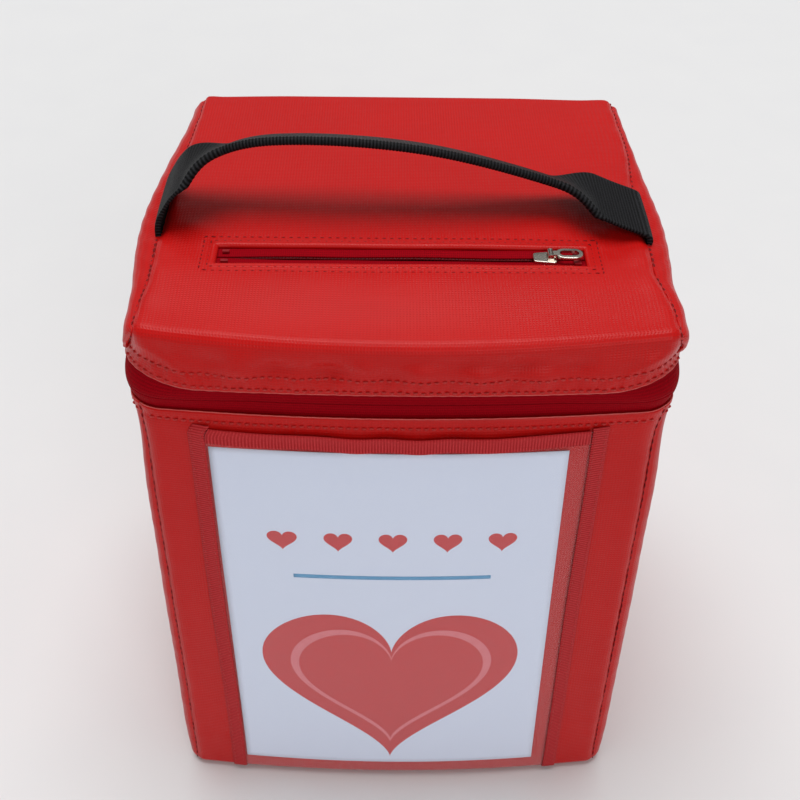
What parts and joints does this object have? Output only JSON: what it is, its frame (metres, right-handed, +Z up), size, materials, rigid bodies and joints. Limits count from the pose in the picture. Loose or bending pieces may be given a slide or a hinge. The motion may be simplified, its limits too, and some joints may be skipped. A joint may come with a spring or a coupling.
{
  "type": "donation box",
  "caption": "Soft zip-lidded donation box of red coated fabric: zipped money slot and webbing handle on the lid, clear pocket with a card on the front.",
  "frame": {"origin": "on the floor under the middle of the box", "axes": "+Z up, -Y out of the front with the card pocket, +X to the right seen from the front"},
  "size_m": [0.2313, 0.212, 0.3365],
  "materials": {
    "red_tarpaulin": "satin",
    "stiffener_board": "matte",
    "lining_fabric": "matte",
    "red_zip_tape": "matte",
    "red_zip_coil": "satin",
    "nickel_plated_zinc": "polished",
    "black_webbing": "matte",
    "clear_pvc": "gloss",
    "red_ribbon": "satin",
    "white_card": "matte"
  },
  "bodies": {
    "tub": {"tub_front_panel": "red_tarpaulin", "tub_back_panel": "red_tarpaulin", "tub_left_gusset": "red_tarpaulin", "tub_right_gusset": "red_tarpaulin", "tub_base_panel": "red_tarpaulin", "tub_base_board": "stiffener_board", "tub_front_board": "stiffener_board", "tub_back_board": "stiffener_board", "tub_left_board": "stiffener_board", "tub_right_board": "stiffener_board", "tub_lining": "lining_fabric", "tub_zip_tape": "red_zip_tape", "tub_zip_coil": "red_zip_coil", "hinge_strip": "red_tarpaulin", "pocket_window": "clear_pvc", "pocket_left_tape": "red_ribbon", "pocket_right_tape": "red_ribbon", "pocket_top_binding": "red_ribbon"},
    "lid": {"lid_top_panel": "red_tarpaulin", "lid_left_band": "red_tarpaulin", "lid_right_band": "red_tarpaulin", "lid_board": "stiffener_board", "lid_lining": "lining_fabric", "lid_zip_tape": "red_zip_tape", "lid_zip_coil": "red_zip_coil", "slot_front_tape": "red_zip_tape", "slot_back_tape": "red_zip_tape", "slot_front_coil": "red_zip_coil", "slot_back_coil": "red_zip_coil", "slot_end_stops": "nickel_plated_zinc", "handle_left_riser": "black_webbing", "handle_right_riser": "black_webbing"},
    "handle": {"handle_grip": "black_webbing"},
    "slot_slider": {"slot_slider": "nickel_plated_zinc"},
    "slot_pull": {"slot_pull": "nickel_plated_zinc"},
    "zip_slider": {"zip_slider": "nickel_plated_zinc"},
    "zip_pull": {"zip_pull": "nickel_plated_zinc"},
    "card": {"card": "white_card"}
  },
  "joints": [
    {"name": "lid_hinge", "type": "hinge", "parent": "tub", "child": "lid", "pos_m": [0, 0.1056, 0.2605], "axis": [-1, 0, 0], "range_deg": [0, 180], "deforming": ["hinge_strip"]},
    {"name": "slot_slide", "type": "slide", "parent": "lid", "child": "slot_slider", "axis": [-1, 0, 0], "range_m": [0, 0.13]},
    {"name": "slot_pull_flip", "type": "hinge", "parent": "slot_slider", "child": "slot_pull", "pos_m": [0.0634, -0.046, 0.298], "axis": [0, -1, 0], "range_deg": [0, 170]},
    {"name": "zip_slide", "type": "slide", "parent": "tub", "child": "zip_slider", "axis": [0, -1, 0], "range_m": [0, 0.12]},
    {"name": "zip_pull_flip", "type": "hinge", "parent": "zip_slider", "child": "zip_pull", "pos_m": [0.116, 0.0754, 0.2605], "axis": [0, 0, -1], "range_deg": [0, 170]},
    {"name": "handle_sway", "type": "hinge", "parent": "lid", "child": "handle", "pos_m": [0, -0.015, 0.296], "axis": [1, 0, 0], "range_deg": [-45, 45], "stiffness_Nm_per_rad": 0.05, "deforming": ["handle_left_riser", "handle_right_riser"]},
    {"name": "card_slide", "type": "slide", "parent": "tub", "child": "card", "axis": [0, 0, 1], "range_m": [0, 0.243]}
  ]
}
